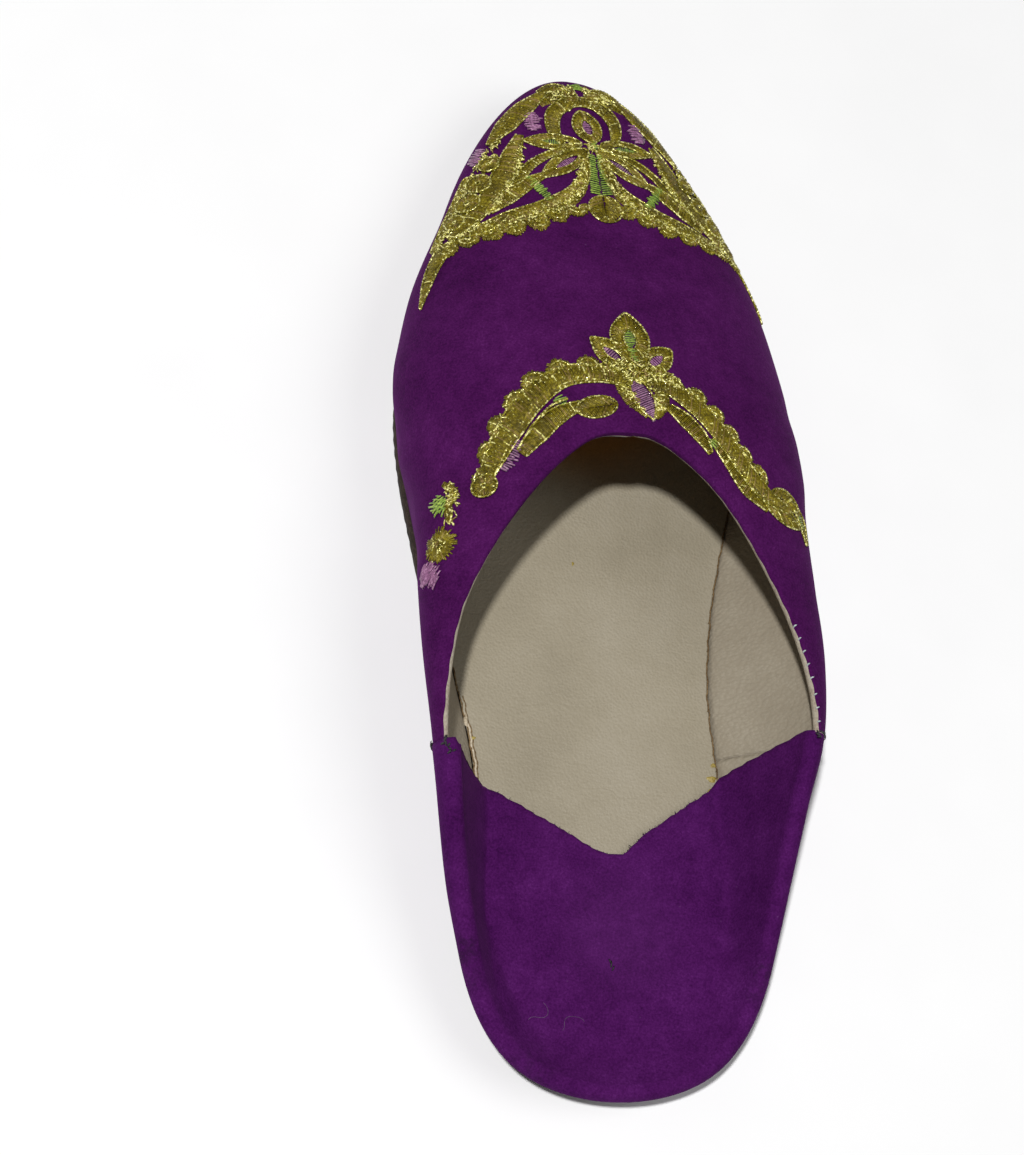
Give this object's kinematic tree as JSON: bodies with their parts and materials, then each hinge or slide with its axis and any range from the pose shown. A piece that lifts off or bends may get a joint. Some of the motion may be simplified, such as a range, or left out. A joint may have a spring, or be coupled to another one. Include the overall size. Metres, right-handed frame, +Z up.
{
  "type": "babouche slipper",
  "caption": "Backless pointed leather slipper for the left foot, with a thin sole and its heel folded flat over the insole.",
  "frame": {"origin": "on the floor, under the middle of the slipper's box", "axes": "+Y from heel to toe, +X to the inner side of the left foot, +Z up"},
  "size_m": [0.0968, 0.252, 0.0485],
  "materials": {
    "suede": "violet suede with a soft nap",
    "lining_leather": "cream, matt to satin",
    "sole_leather": "dark brown, rough edge",
    "lift_leather": "dark brown, rough edge",
    "gold_thread": "metallic embroidery thread",
    "lilac_thread": "satin embroidery thread",
    "green_thread": "satin embroidery thread",
    "sewing_thread": "matt sewing thread"
  },
  "bodies": {
    "root": {"outsole": "sole_leather", "heel_lift": "lift_leather", "insole": "lining_leather", "upper": "suede", "folded_back": "suede"}
  },
  "joints": []
}
